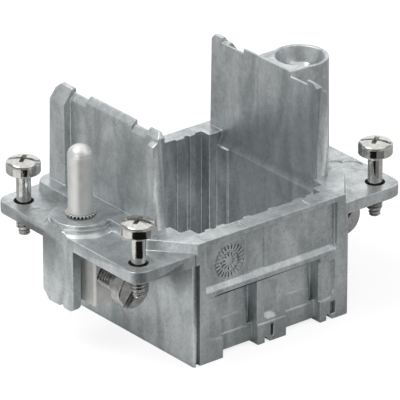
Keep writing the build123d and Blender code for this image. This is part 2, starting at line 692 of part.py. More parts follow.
def mounting_screw():
    """A captive screw at its raised rest: pan head, collar, thin shank, thread and pilot tip."""
    head_top = SCREW_RAISE + SCREW_HEAD_THICK
    head = SCREW_HEAD_DIA / 2
    collar_radius = SCREW_COLLAR_DIA / 2
    shank = SCREW_SHANK_DIA / 2
    thread = SCREW_THREAD_DIA / 2
    tip = SCREW_TIP_DIA / 2
    collar_foot = SCREW_RAISE - SCREW_COLLAR_THICK
    shoulder = head_top - SCREW_HEAD_DOME
    thread_top = -FLANGE_THICK - SCREW_THREAD_GAP
    thread_end = thread_top - SCREW_THREAD_LENGTH
    tip_end = thread_end - SCREW_TIP_LENGTH
    side = Polyline(
        (0, 0, tip_end),
        (tip - SCREW_TIP_CHAMFER, 0, tip_end),
        (tip, 0, tip_end + SCREW_TIP_CHAMFER),
        (tip, 0, thread_end),
        (thread, 0, thread_end + thread - tip),
        (thread, 0, thread_top),
        (shank, 0, thread_top),
        (shank, 0, collar_foot),
        (collar_radius, 0, collar_foot + collar_radius - shank),
        (collar_radius, 0, SCREW_RAISE),
        (head - SCREW_HEAD_UNDER_EDGE, 0, SCREW_RAISE),
        (head, 0, SCREW_RAISE + SCREW_HEAD_UNDER_EDGE),
        (head, 0, shoulder - SCREW_HEAD_EDGE),
    )
    bulge = SCREW_HEAD_EDGE * (1 - math.sqrt(0.5))
    edge = ThreePointArc(
        (head, 0, shoulder - SCREW_HEAD_EDGE),
        (head - bulge, 0, shoulder - bulge),
        (head - SCREW_HEAD_EDGE, 0, shoulder),
    )
    reach = head - SCREW_HEAD_EDGE
    crown_radius = (reach ** 2 + SCREW_HEAD_DOME ** 2) / (2 * SCREW_HEAD_DOME)
    crown_middle = head_top - crown_radius + math.sqrt(crown_radius ** 2 - (reach / 2) ** 2)
    crown = ThreePointArc((reach, 0, shoulder), (reach / 2, 0, crown_middle), (0, 0, head_top))
    axis = Line((0, 0, head_top), (0, 0, tip_end))
    return revolve(make_face(side + edge + crown + axis), Axis.Z) - recess_and_slot(head_top)


def earth_terminal():
    """One earth terminal block, tapped for its screw and drilled from below for the wire."""
    half = TERMINAL_WIDTH / 2
    body = block(-half, half, TERMINAL_NEAR, TERMINAL_SEAT, TERMINAL_BOTTOM, TERMINAL_TOP)
    front = body.edges().filter_by(Axis.Z).group_by(Axis.Y)[0]
    body = chamfer(front, TERMINAL_CHAMFER)
    inner_foot = body.edges().filter_by(Axis.Y).group_by(Axis.Z)[0].sort_by(Axis.X)[0]
    body = chamfer(inner_foot, TERMINAL_CORNER)
    tapped_end = WIRE_HOLE_Y + WIRE_HOLE_DIA / 2 + TAPPED_PAST_WIRE
    tapped = Pos(0, tapped_end, EARTH_AXIS_Z) * Rot(90, 0, 0) * rod(
        EARTH_THREAD_DIA + 2 * EARTH_THREAD_GAP, tapped_end - TERMINAL_NEAR + OVERCUT
    )
    wire_length = EARTH_AXIS_Z - TERMINAL_BOTTOM + OVERCUT
    wire = rod(WIRE_HOLE_DIA, wire_length, 0, WIRE_HOLE_Y, TERMINAL_BOTTOM - OVERCUT)
    return Pos(TERMINAL_X, 0, 0) * (body - tapped - wire)


def earth_screw():
    """One slotted cheese-head earth screw, backed out to take a wire."""
    head = EARTH_HEAD_DIA / 2
    thread = EARTH_THREAD_DIA / 2
    tip = EARTH_HEAD_THICK + EARTH_SCREW_LENGTH
    outline = make_face(
        Polyline(
            (0, 0, 0),
            (head - EARTH_HEAD_EDGE, 0, 0),
            (head, 0, EARTH_HEAD_EDGE),
            (head, 0, EARTH_HEAD_THICK),
            (thread, 0, EARTH_HEAD_THICK),
            (thread, 0, tip - EARTH_TIP_CHAMFER),
            (thread - EARTH_TIP_CHAMFER, 0, tip),
            (0, 0, tip),
            close=True,
        )
    )
    slot = block(
        -EARTH_HEAD_DIA, EARTH_HEAD_DIA, -EARTH_SLOT_WIDTH / 2, EARTH_SLOT_WIDTH / 2,
        -OVERCUT, EARTH_SLOT_DEPTH,
    )
    body = revolve(outline, Axis.Z) - Rot(0, 0, EARTH_SLOT_TURN) * slot
    return Pos(TERMINAL_X, EARTH_HEAD_FACE, EARTH_AXIS_Z) * Rot(-90, 0, 0) * body


def write(node, shape):
    """Lift one piece so that the flange's underside lies at the origin, and write it."""
    export_step(Pos(0, 0, FLANGE_THICK) * shape, "parts/" + node + ".step")


def main():
    """Build every piece and write it."""
    os.makedirs("parts", exist_ok=True)
    write("frame_casting", frame_casting())
    write("guide_pin", guide_pin())
    write("guide_bush", guide_bush())
    screw = mounting_screw()
    for place, (x, y) in SCREW_PLACES.items():
        write("mounting_screw_" + place, Pos(x, y, 0) * screw)
    write("earth_terminal_right", earth_terminal())
    write("earth_terminal_left", mirror(earth_terminal(), about=Plane.YZ))
    write("earth_screw_right", earth_screw())
    write("earth_screw_left", Pos(-2 * TERMINAL_X, 0, 0) * earth_screw())


main()
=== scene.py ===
import math

import bmesh
import bpy
from bpy.props import FloatProperty, FloatVectorProperty, IntProperty, PointerProperty
from mathutils import Matrix, Vector
from mathutils.bvhtree import BVHTree
from mathutils.geometry import intersect_point_line
from mathutils.kdtree import KDTree


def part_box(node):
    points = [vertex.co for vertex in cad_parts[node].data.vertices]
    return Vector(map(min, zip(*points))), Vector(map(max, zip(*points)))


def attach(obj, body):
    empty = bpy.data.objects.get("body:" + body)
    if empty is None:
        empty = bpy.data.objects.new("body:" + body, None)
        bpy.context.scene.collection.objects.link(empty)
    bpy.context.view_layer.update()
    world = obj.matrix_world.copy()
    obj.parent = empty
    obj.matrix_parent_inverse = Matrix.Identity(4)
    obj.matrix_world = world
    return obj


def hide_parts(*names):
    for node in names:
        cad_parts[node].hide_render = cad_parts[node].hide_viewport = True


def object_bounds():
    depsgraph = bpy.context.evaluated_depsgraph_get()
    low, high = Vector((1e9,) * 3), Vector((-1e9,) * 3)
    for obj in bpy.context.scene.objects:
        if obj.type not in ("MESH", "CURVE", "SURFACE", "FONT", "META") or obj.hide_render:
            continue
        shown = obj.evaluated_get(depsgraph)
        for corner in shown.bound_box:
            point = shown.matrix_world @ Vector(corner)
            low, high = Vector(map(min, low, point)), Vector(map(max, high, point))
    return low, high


bl_info = {
    "name": "Die-cast docking frame",
    "version": (1, 0, 0),
    "blender": (4, 5, 0),
    "location": "View3D > Sidebar > Docking frame",
    "description": "Finishes a zinc docking frame with its screws, guide pin and earth terminals",
    "category": "Object",
}

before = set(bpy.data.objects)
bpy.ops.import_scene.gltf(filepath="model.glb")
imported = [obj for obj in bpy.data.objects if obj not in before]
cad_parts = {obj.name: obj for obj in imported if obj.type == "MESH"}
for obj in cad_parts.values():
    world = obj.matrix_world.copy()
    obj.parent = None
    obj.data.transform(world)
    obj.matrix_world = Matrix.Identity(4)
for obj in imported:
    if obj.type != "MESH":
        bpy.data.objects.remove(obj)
cad_low, cad_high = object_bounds()

# One millimetre in the scene's metres
MM = 0.001

# Where the guide pieces sit, read off the frame
PIN_LOW, PIN_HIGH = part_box("guide_pin")
BUSH_LOW, BUSH_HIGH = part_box("guide_bush")

# How far each mounting screw is turned in its hole, in degrees
MOUNTING_TURNS = {"front_left": -58, "front_right": -53, "back_left": -51, "back_right": -47}
EARTH_SIDES = ("left", "right")

# Heights of the flange and of its collar, above the flange's underside at zero
FLANGE_TOP = 2.2 * MM
COLLAR_TOP = 4.1 * MM

# The middle of the foundry stamp on the near panel
STAMP_SEAT = Vector((-9.2 * MM, -19.68 * MM, -1.7 * MM))

# How edges are rounded. A full rounding needs this many widths up to its neighbour
ROOM_NEEDED = 2.3
# The cosine past which one edge runs on from another
RUNS_ON = 0.85
# An edge with less than this share of the full rounding stays sharp
LEAST_SHARE = 0.08
# Where the rounding goes wrong, it is cut to this share, up to this many times
EASE_STEP = 0.6
EASE_ROUNDS = 16

# Points closer than this are one, and twice the area of a triangle that is too thin to have a side
SAME_SPOT = 2e-6
SLIVER = 4e-9

# The photo's width in pixels, and how far its middle lies below the flange's top, in millimetres
PHOTO_WIDTH = 400
AIM_DROP = 1.685


def linear(code):
    """An sRGB hex colour as the linear colour that a shader takes."""
    values = [int(code[i:i + 2], 16) / 255 for i in (1, 3, 5)]
    return [v / 12.92 if v <= 0.04045 else ((v + 0.055) / 1.055) ** 2.4 for v in values] + [1.0]


def node(tree, kind, inputs=None, **settings):
    """Add one node with its settings. Its inputs take values, sockets, or nodes for their first outputs."""
    made = tree.nodes.new(kind)
    for name, value in settings.items():
        setattr(made, name, value)
    for name, value in (inputs or {}).items():
        feed = value.outputs[0] if isinstance(value, bpy.types.Node) else value
        if isinstance(feed, bpy.types.NodeSocket):
            tree.links.new(feed, made.inputs[name])
        else:
            made.inputs[name].default_value = feed
    return made


def cleared(data):
    """The node tree of a material or a world, emptied."""
    data.use_nodes = True
    data.node_tree.nodes.clear()
    return data.node_tree


def toned(tree, pattern, low, high, first, second, most=1.0):
    """Two colours that follow a pattern: the first at its low value, most of the second at its high one."""
    share = node(tree, "ShaderNodeMapRange", {
        "Value": pattern, "From Min": low, "From Max": high, "To Max": most,
    })
    return node(tree, "ShaderNodeMix", {0: share, 6: first, 7: second}, data_type="RGBA").outputs[2]


def painted_recess_shade(tree, reach, closed, clear, dark, skin):
    """The skin's colour with painted shade: turned dark where other surfaces stand close round it."""
    around = node(tree, "ShaderNodeAmbientOcclusion", {"Distance": reach * MM}, samples=6).outputs["AO"]
    return toned(tree, around, closed, clear, linear(dark), skin)


def metal_skin(tree, colour, metallic, roughness, strength, depth, height):
    """Wire up the shader of a metal whose skin has bumps that many millimetres deep."""
    bump = node(tree, "ShaderNodeBump", {"Strength": strength, "Distance": depth * MM, "Height": height})
    shader = node(tree, "ShaderNodeBsdfPrincipled", {
        "Base Color": colour, "Metallic": metallic, "Roughness": roughness, "Normal": bump,
    })
    node(tree, "ShaderNodeOutputMaterial", {"Surface": shader})


def cast_zinc(settings):
    """Raw zinc die casting, tumbled: it gives a satin grey with cloudy flow marks and bright rubbed edges."""
    made = bpy.data.materials.new("cast_zinc_tumbled")
    tree = cleared(made)
    colours = (settings.pale_zinc, settings.dark_zinc, settings.rubbed_zinc)
    pale, dark, bright = ([*colour, 1.0] for colour in colours)
    place = node(tree, "ShaderNodeTexCoord").outputs["Object"]
    drawn = node(tree, "ShaderNodeMapping", {"Vector": place, "Scale": (1.0, 1.0, 0.3)})
    cloud = node(tree, "ShaderNodeTexNoise", {
        "Vector": drawn, "Scale": 1 / (settings.flow_mark_size * MM), "Detail": 4.0, "Distortion": 0.8,
    })
    fine = node(tree, "ShaderNodeTexNoise", {
        "Vector": place, "Scale": 1 / (settings.flow_mark_size / 4 * MM), "Detail": 3.0,
    })
    grit = node(tree, "ShaderNodeTexNoise", {
        "Vector": place, "Scale": 1 / (settings.grain_size * MM), "Detail": 2.0,
    })

    # edges that the tumbling rubbed are found where the rounded normal leaves the true one
    rounded = node(tree, "ShaderNodeBevel", {"Radius": settings.rub_width * MM}, samples=4)
    flat = node(tree, "ShaderNodeNewGeometry").outputs["Normal"]
    same = node(tree, "ShaderNodeVectorMath", {0: rounded, 1: flat}, operation="DOT_PRODUCT").outputs["Value"]
    rubbed = node(tree, "ShaderNodeMapRange", {"Value": same, "From Min": 0.995, "From Max": 0.85})
    patches = node(tree, "ShaderNodeMapRange", {
        "Value": fine, "From Min": 0.35, "From Max": 0.6, "To Min": 0.35, "To Max": 0.9,
    })
    patchy = node(tree, "ShaderNodeMath", {0: rubbed, 1: patches}, operation="MULTIPLY")

    broad_part = node(tree, "ShaderNodeMath", {0: cloud, 1: 0.75}, operation="MULTIPLY")
    fine_part = node(tree, "ShaderNodeMath", {0: fine, 1: 0.25}, operation="MULTIPLY")
    tone = node(tree, "ShaderNodeMath", {0: broad_part, 1: fine_part}, operation="ADD")
    skin = toned(tree, tone, 0.38, 0.62, dark, pale)
    # painted shade: the skin turns darker where other surfaces stand close round it, as in the recesses
    body = painted_recess_shade(tree, settings.recess_shade_reach, 0.1, 0.55, "#8A8E90", skin)
    worn = node(tree, "ShaderNodeMix", {0: patchy, 6: body, 7: bright}, data_type="RGBA").outputs[2]
    # specks of both kinds are drawn about twice as coarse as the real ones, so that they show
    pitted = toned(tree, grit, 0.40, 0.31, worn, linear("#8A8E8F"), 0.4)
    colour = toned(tree, grit, 0.60, 0.70, pitted, bright, 0.45)

    dull = node(tree, "ShaderNodeMapRange", {
        "Value": tone, "From Min": 0.3, "From Max": 0.7, "To Min": 0.42, "To Max": 0.28,
    })
    polish = node(tree, "ShaderNodeMath", {0: patchy, 1: 0.08}, operation="MULTIPLY")
    roughness = node(tree, "ShaderNodeMath", {0: dull, 1: polish}, operation="SUBTRACT")
    height = node(tree, "ShaderNodeMath", {0: grit, 1: 0.5, 2: fine}, operation="MULTIPLY_ADD")
    # a thin grey oxide gives the metal a little of a plain surface's look
    metal_skin(tree, colour, 0.85, roughness, 0.5, settings.skin_height, height)
    return made


def nickel(settings):
    """Bright nickel plate on steel: a near neutral mirror with small dull spots."""
    made = bpy.data.materials.new("nickel_plated_steel")
    tree = cleared(made)
    place = node(tree, "ShaderNodeTexCoord").outputs["Object"]
    spots = node(tree, "ShaderNodeTexNoise", {"Vector": place, "Scale": 1 / (0.8 * MM), "Detail": 3.0})
    warm = toned(tree, spots, 0.35, 0.65, linear("#CBCAC6"), [*settings.plate, 1.0])
    # painted shade: the plate turns darker down in threads and recesses
    colour = painted_recess_shade(tree, 0.7, 0.25, 0.8, "#4E4D4B", warm)
    roughness = node(tree, "ShaderNodeMapRange", {
        "Value": spots, "From Min": 0.3, "From Max": 0.7, "To Min": 0.05, "To Max": 0.12,
    })
    ripple = node(tree, "ShaderNodeTexNoise", {"Vector": place, "Scale": 1 / (0.35 * MM), "Detail": 1.0})
    metal_skin(tree, colour, 1.0, roughness, 0.15, 0.004, ripple)
    return made


def dull_plate():
    """Barrel plated steel, handled and dulled: a mid grey metal with soft cloudy patches."""
    made = bpy.data.materials.new("dull_plated_steel")
    tree = cleared(made)
    place = node(tree, "ShaderNodeTexCoord").outputs["Object"]
    cloud = node(tree, "ShaderNodeTexNoise", {
        "Vector": place, "Scale": 1 / (1.2 * MM), "Detail": 4.0, "Distortion": 0.4,
    })
    plate = toned(tree, cloud, 0.3, 0.7, linear("#A6A6A4"), linear("#D0D0CD"))
    # painted shade: darker down in the thread and the slot
    colour = painted_recess_shade(tree, 0.9, 0.25, 0.8, "#4E4D4B", plate)
    roughness = node(tree, "ShaderNodeMapRange", {
        "Value": cloud, "From Min": 0.3, "From Max": 0.7, "To Min": 0.28, "To Max": 0.18,
    })
    scuff = node(tree, "ShaderNodeTexNoise", {"Vector": place, "Scale": 1 / (0.3 * MM), "Detail": 2.0})
    metal_skin(tree, colour, 1.0, roughness, 0.3, 0.008, scuff)
    return made


def turned_steel(name, axis, tint, dullness):
    """Steel left as it was turned: rings round its axis give a soft streak down each side."""
    made = bpy.data.materials.new(name)
    tree = cleared(made)
    place = node(tree, "ShaderNodeTexCoord").outputs["Object"]
    centred = node(tree, "ShaderNodeMapping", {"Vector": place, "Location": (-axis.x, -axis.y, 0)})
    # the texture makes 20 / (2 pi) rings in one of its units, here 4.4 mm, so they are 1.4 mm apart: much
    # coarser than a tool's real ones, so that they show
    rings = node(
        tree, "ShaderNodeTexWave",
        {"Vector": centred, "Scale": 1 / (4.4 * MM), "Distortion": 2.5, "Detail": 2.0}, bands_direction="Z",
    ).outputs["Fac"]
    cloud = node(tree, "ShaderNodeTexNoise", {"Vector": centred, "Scale": 1 / (2.0 * MM), "Detail": 3.0})
    steel = toned(tree, cloud, 0.3, 0.7, linear(tint), linear("#F2F2F0"))
    # painted shade: darker in recesses, such as between the knurl's teeth
    colour = painted_recess_shade(tree, 0.6, 0.35, 0.85, "#3E3D3C", steel)
    roughness = node(tree, "ShaderNodeMapRange", {
        "Value": cloud, "From Min": 0.3, "From Max": 0.7,
        "To Min": dullness - 0.05, "To Max": dullness + 0.07,
    })
    metal_skin(tree, colour, 0.6, roughness, 0.25, 0.006, rings)
    return made


def block_metal():
    """Plated terminal block, sawn and barrelled: an even warm grey with a dull sheen."""
    made = bpy.data.materials.new("terminal_block_plate")
    tree = cleared(made)
    place = node(tree, "ShaderNodeTexCoord").outputs["Object"]
    cloud = node(tree, "ShaderNodeTexNoise", {
        "Vector": place, "Scale": 1 / (1.6 * MM), "Detail": 4.0, "Distortion": 0.4,
    })
    colour = toned(tree, cloud, 0.3, 0.7, linear("#E3E3E0"), linear("#F3F3F0"))
    roughness = node(tree, "ShaderNodeMapRange", {
        "Value": cloud, "From Min": 0.3, "From Max": 0.7, "To Min": 0.62, "To Max": 0.5,
    })
    metal_skin(tree, colour, 0.3, roughness, 0.3, 0.01, cloud)
    return made


def link(name, mesh):
    """A new object at the origin that holds a mesh."""
    made = bpy.data.objects.new(name, mesh)
    bpy.context.scene.collection.objects.link(made)
    return made


def mesh_of(name, bm):
    """The mesh that a bmesh holds, with the bmesh freed."""
    mesh = bpy.data.meshes.new(name)
    bm.to_mesh(mesh)
    bm.free()
    return mesh


def plain_mesh(obj, name):
    """The object with its modifiers applied, as a plain mesh, and the object gone."""
    bpy.context.view_layer.update()
    evaluated = obj.evaluated_get(bpy.context.evaluated_depsgraph_get())
    mesh = bpy.data.meshes.new_from_object(evaluated)
    mesh.name = name
    bpy.data.objects.remove(obj)
    return mesh


def held(profile, hold):
    """The profile with a point close to each end of its long lines, which keeps their shading straight."""
    points = [Vector(point) for point in profile]
    result = [points[0]]
    for low, high in zip(points, points[1:]):
        along = high - low
        if along.length > 5 * hold:
            step = along.normalized() * hold
            result += [low + step, high - step]
        result.append(high)
    return result


def circle(radius, height, count):
    """Points round the Z axis."""
    turns = [2 * math.pi * i / count for i in range(count)]
    return [(radius * math.cos(t), radius * math.sin(t), height) for t in turns]


def lathe(profile, segments):
    """A closed turned mesh from (radius, height) points in millimetres, first and last on the axis."""
    bm = bmesh.new()
    rings = []
    for radius, height in held([(r * MM, z * MM) for r, z in profile], 0.05 * MM):
        on_axis = radius < 1e-9
        places = [(0, 0, height)] if on_axis else circle(radius, height, segments)
        rings.append([bm.verts.new(place) for place in places])
    for low, high in zip(rings, rings[1:]):
        for i in range(segments):
            after = i + 1
            corners = [
                low[i % len(low)], low[after % len(low)], high[after % len(high)], high[i % len(high)],
            ]
            bm.faces.new(list(dict.fromkeys(corners)))
    bmesh.ops.recalc_face_normals(bm, faces=bm.faces)
    return mesh_of("turned", bm)


def arc(centre, radius, start, end, steps):
    """Points on an arc in a turned profile, angles in degrees from the outward direction."""
    turns = [math.radians(start + (end - start) * i / steps) for i in range(steps + 1)]
    return [(centre[0] + radius * math.cos(t), centre[1] + radius * math.sin(t)) for t in turns]


def cutter(size, place, turn):
    """A hidden box that a boolean cuts with."""
    bm = bmesh.new()
    bmesh.ops.create_cube(bm, size=1.0)
    spot = Matrix.Rotation(turn, 4, "Z") @ Matrix.Translation(place) @ Matrix.Diagonal((*size, 1))
    bmesh.ops.transform(bm, matrix=spot, verts=bm.verts)
    return link("cutter", mesh_of("cutter", bm))


def cut(mesh, cutters, edge):
    """The mesh with the cutters taken out and its sharp edges rounded."""
    obj = link("cut", mesh)
    for box in cutters:
        taken = obj.modifiers.new("cut", "BOOLEAN")
        taken.operation = "DIFFERENCE"
        taken.solver = "EXACT"
        taken.object = box
    rounding = obj.modifiers.new("edges", "BEVEL")
    rounding.width = edge
    rounding.segments = 2
    rounding.limit_method = "ANGLE"
    rounding.angle_limit = math.radians(40)
    rounding.use_clamp_overlap = True
    result = plain_mesh(obj, "cut")
    for box in cutters:
        bpy.data.objects.remove(box)
    return result


def joined(name, *meshes):
    """Several closed meshes as one."""
    bm = bmesh.new()
    for mesh in meshes:
        bm.from_mesh(mesh)
    return mesh_of(name, bm)


def finished(name, mesh, surface, body, slot, *nodes):
    """A finished piece: its material, smooth shading up to its corners, its body and what it stands for."""
    mesh.materials.clear()
    mesh.materials.append(surface)
    for face in mesh.polygons:
        face.use_smooth = True
        face.material_index = 0
    mesh.set_sharp_from_angle(angle=math.radians(35))
    piece = link(name, mesh)
    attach(piece, body)
    if nodes:
        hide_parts(*nodes)


def new_tree(name, result, **inputs):
    """An empty tree of geometry nodes with its named inputs, by kind, and the sockets that give them."""
    tree = bpy.data.node_groups.new(name, "GeometryNodeTree")
    for kind, names in inputs.items():
        for socket in names:
            tree.interface.new_socket(name=socket, in_out="INPUT", socket_type="NodeSocket" + kind)
    tree.interface.new_socket(name=result, in_out="OUTPUT", socket_type="NodeSocketGeometry")
    return tree, node(tree, "NodeGroupInput").outputs


def end_tree(tree, geometry, surface):
    """Make what the tree grew real, give it its material and hand it out."""
    real = node(tree, "GeometryNodeRealizeInstances", {0: geometry})
    dressed = node(tree, "GeometryNodeSetMaterial", {"Geometry": real, "Material": surface})
    node(tree, "NodeGroupOutput", {0: dressed})
    return tree


def ridge_tree():
    """Geometry nodes for a sleeve with ridges: a thread where they climb, a knurl where they stand."""
    tree, given = new_tree(
        "ridged_sleeve", "Sleeve",
        Float=("Radius", "Ridge Height", "Length", "Foot", "Turns per Metre", "Ridges Round", "Run Out"),
        Int=("Segments", "Rings"), Material=("Material",),
    )
    blank = node(tree, "GeometryNodeMeshCylinder", {
        "Vertices": given["Segments"], "Side Segments": given["Rings"],
        "Radius": given["Radius"], "Depth": given["Length"],
    })
    place = node(tree, "ShaderNodeSeparateXYZ", {0: node(tree, "GeometryNodeInputPosition")}).outputs
    sums = {name: given[name] for name in ("Length", "Turns per Metre", "Ridges Round")}
    sums.update(x=place["X"], y=place["Y"], z=place["Z"])
    # each sum takes up to three values, which are numbers or the names of inputs and of sums above it
    for name, operation, *values in (
        ("angle", "ARCTAN2", "y", "x"),
        ("around", "DIVIDE", "angle", 2 * math.pi),
        ("climb", "MULTIPLY", "z", "Turns per Metre"),
        ("lag", "MULTIPLY", "around", "Ridges Round"),
        ("phase", "SUBTRACT", "climb", "lag"),
        ("share", "FRACT", "phase"),
        ("swing", "MULTIPLY_ADD", "share", 2.0, -1.0),
        ("slope", "ABSOLUTE", "swing"),
        ("wave", "SUBTRACT", 1.0, "slope"),
        ("half", "MULTIPLY", "Length", 0.5),
        ("height", "ABSOLUTE", "z"),
        ("to_end", "SUBTRACT", "half", "height"),
    ):
        inputs = {index: sums.get(value, value) for index, value in enumerate(values)}
        sums[name] = node(tree, "ShaderNodeMath", inputs, operation=operation)
    crest = node(tree, "ShaderNodeMapRange", {"Value": sums["wave"], "From Min": 0.12, "From Max": 0.88})
    fade = node(tree, "ShaderNodeMapRange", {"Value": sums["to_end"], "From Max": given["Run Out"]})
    sunk = node(tree, "ShaderNodeMath", {0: crest, 1: fade, 2: -1.0}, operation="MULTIPLY_ADD")
    depth = node(tree, "ShaderNodeMath", {0: sunk, 1: given["Ridge Height"]}, operation="MULTIPLY")
    flat = node(tree, "ShaderNodeCombineXYZ", {"X": place["X"], "Y": place["Y"]})
    outward = node(tree, "ShaderNodeVectorMath", {0: flat}, operation="NORMALIZE")
    offset = node(tree, "ShaderNodeVectorMath", {0: outward, "Scale": depth}, operation="SCALE")
    ridged = node(tree, "GeometryNodeSetPosition", {"Geometry": blank, "Offset": offset})
    middle = node(tree, "ShaderNodeMath", {0: given["Foot"], 1: sums["half"]}, operation="ADD")
    lift = node(tree, "ShaderNodeCombineXYZ", {"Z": middle})
    placed = node(tree, "GeometryNodeTransform", {"Geometry": ridged, "Translation": lift})
    return end_tree(tree, placed, given["Material"])


def tick_tree():
    """Geometry nodes for a ring of raised ticks that point at the ring's centre."""
    tree, given = new_tree(
        "ring_of_ticks", "Ticks",
        Int=("Count", "Seed"), Float=("Radius", "Shortest"), Vector=("Tick Size",), Material=("Material",),
    )
    ring = node(tree, "GeometryNodeMeshCircle", {"Vertices": given["Count"], "Radius": given["Radius"]})
    tick = node(tree, "GeometryNodeMeshCube", {"Size": given["Tick Size"]})
    place = node(tree, "GeometryNodeInputPosition")
    turned = node(tree, "FunctionNodeAlignRotationToVector", {"Vector": place}, axis="X")
    length = node(
        tree, "FunctionNodeRandomValue",
        {2: given["Shortest"], 3: 1.0, "Seed": given["Seed"]}, data_type="FLOAT",
    ).outputs[1]
    scale = node(tree, "ShaderNodeCombineXYZ", {"X": length, "Y": 1.0, "Z": 1.0})
    ticks = node(tree, "GeometryNodeInstanceOnPoints", {
        "Points": ring, "Instance": tick, "Rotation": turned, "Scale": scale,
    })
    return end_tree(tree, ticks, given["Material"])


def grown(tree, values):
    """The mesh that a tree of geometry nodes grows from these named inputs."""
    obj = link("grown", bpy.data.meshes.new("seed"))
    grower = obj.modifiers.new("grow", "NODES")
    grower.node_group = tree
    for socket in tree.interface.items_tree:
        if socket.in_out == "INPUT" and socket.name in values:
            grower[socket.identifier] = values[socket.name]
    return plain_mesh(obj, "grown")


def sleeve(surface, pitch, **values):
    """A ridged sleeve from sizes in millimetres and counts. Without a pitch its ridges stand straight."""
    tree = bpy.data.node_groups.get("ridged_sleeve") or ridge_tree()
    named = {"Material": surface, "Turns per Metre": 1 / (pitch * MM) if pitch else 0}
    for key, value in values.items():
        name = key.replace("_", " ").title()
        named[name] = value if name in ("Ridges Round", "Segments", "Rings") else value * MM
    return grown(tree, named)


def apart(first, second):
    """The distance between two edges that don't cross."""
    nearest = []
    for edge, other in ((first, second), (second, first)):
        low, high = (vert.co for vert in edge.verts)
        for vert in other.verts:
            _, share = intersect_point_line(vert.co, low, high)
            nearest.append((vert.co - low.lerp(high, min(max(share, 0), 1))).length)
    return min(nearest)


def edge_room(edge, width):
    """How much of the full rounding an edge can take between the edges that meet it."""
    room = math.inf
    along = (edge.verts[1].co - edge.verts[0].co).normalized()
    for vert in edge.verts:
        for other in vert.link_edges:
            way = (other.other_vert(vert).co - vert.co).normalized()
            if other is not edge and abs(way.dot(along)) < RUNS_ON:
                room = min(room, other.calc_length())
    return min(1.0, room / (ROOM_NEEDED * width))


def close_pairs(bm, sharp, width):
    """Sharp edges of one face that are too close for two full roundings, in pairs with their distance."""
    pairs = []
    for face in bm.faces:
        own = [edge for edge in face.edges if edge in sharp]
        for index, first in enumerate(own):
            for second in own[index + 1:]:
                if not set(first.verts) & set(second.verts):
                    distance = apart(first, second)
                    if distance < ROOM_NEEDED * width:
                        pairs.append((first, second, distance))
    return pairs


def rounding_shares(bm, width):
    """Each sharp edge's share of the full rounding: outer corners first, inner ones take what is left."""
    least_turn = math.radians(25)
    sharp = {edge for edge in bm.edges if len(edge.link_faces) == 2 and edge.calc_face_angle(0) > least_turn}
    shares = {edge: edge_room(edge, width) for edge in sharp}
    pairs = close_pairs(bm, sharp, width)
    for first, second, distance in pairs:
        if first.is_convex == second.is_convex:
            for edge in (first, second):
                shares[edge] = min(shares[edge], distance / (ROOM_NEEDED * width))
    for first, second, distance in pairs:
        if first.is_convex != second.is_convex:
            inner, outer = (second, first) if first.is_convex else (first, second)
            left = max(0.0, distance / (ROOM_NEEDED / 2 * width) - shares[outer])
            shares[inner] = min(shares[inner], left)
    return shares


def wrong_spots(mesh, true_shape, width):
    """Corners, and the area, of triangles that a rounding turned over or threw off the true surface."""
    on_surface = 0.05 * width
    off_surface = 0.45 * width
    mesh.calc_loop_triangles()
    spots = []
    area = 0.0
    for triangle in mesh.loop_triangles:
        corners = [mesh.vertices[i].co for i in triangle.vertices]
        normal = (corners[1] - corners[0]).cross(corners[2] - corners[0])
        if normal.length < SLIVER:
            continue
        centre = sum(corners, Vector()) / 3
        _, facing, _, distance = true_shape.find_nearest(centre)
        turned = facing.dot(normal.normalized()) < 0.2 and distance < on_surface
        if turned or distance > off_surface:
            spots.extend([centre, *corners])
            area += normal.length / 2
    return spots, area


def round_edges(name, bm, width):
    """The mesh that a bmesh holds, with its edges rounded by their weights and its flats shaded flat."""
    mesh = bpy.data.meshes.new(name)
    bm.to_mesh(mesh)
    for face in mesh.polygons:
        face.use_smooth = True
    obj = link(name + "_soft", mesh)
    rounding = obj.modifiers.new("edges", "BEVEL")
    rounding.limit_method = "WEIGHT"
    rounding.width = width
    rounding.segments = 3
    rounding.use_clamp_overlap = False
    rounding.miter_outer = "MITER_ARC"
    flats = obj.modifiers.new("flats", "WEIGHTED_NORMAL")
    flats.keep_sharp = True
    flats.weight = 100
    return plain_mesh(obj, name)


def softened(name, mesh, width):
    """A copy of a CAD mesh, merged into clean faces, with rounded edges that fit between their neighbours."""
    bm = bmesh.new()
    bm.from_mesh(mesh)
    bmesh.ops.remove_doubles(bm, verts=bm.verts, dist=SAME_SPOT)
    true_shape = BVHTree.FromBMesh(bm)
    bmesh.ops.dissolve_limit(
        bm, angle_limit=math.radians(0.6), use_dissolve_boundaries=False, verts=bm.verts, edges=bm.edges
    )
    weights = bm.edges.layers.float.new("bevel_weight_edge")
    shares = rounding_shares(bm, width)
    easing = {vert: 1.0 for vert in bm.verts}
    least = math.inf
    # the rounding is eased step by step round the spots that it spoils, and the best attempt is kept
    for _ in range(EASE_ROUNDS):
        for edge, share in shares.items():
            eased = share * min(easing[vert] for vert in edge.verts)
            edge[weights] = eased if eased > LEAST_SHARE else 0.0
            edge.smooth = eased > LEAST_SHARE
        result = round_edges(name, bm, width)
        wrong, area = wrong_spots(result, true_shape, width)
        if area < least:
            least = area
            best = result
        if not wrong:
            break
        near = KDTree(len(wrong))
        for index, spot in enumerate(wrong):
            near.insert(spot, index)
        near.balance()
        for vert in bm.verts:
            if near.find(vert.co)[2] < 2.0 * width:
                easing[vert] *= EASE_STEP
    bm.free()
    return best


def size_in_mm(name, description, default):
    """A setting that is a length in millimetres."""
    return FloatProperty(name=name, description=description + ", mm", default=default)


def colour_of(name, description, code):
    """A setting that is a colour."""
    return FloatVectorProperty(name=name, description=description, subtype="COLOR", default=linear(code)[:3])


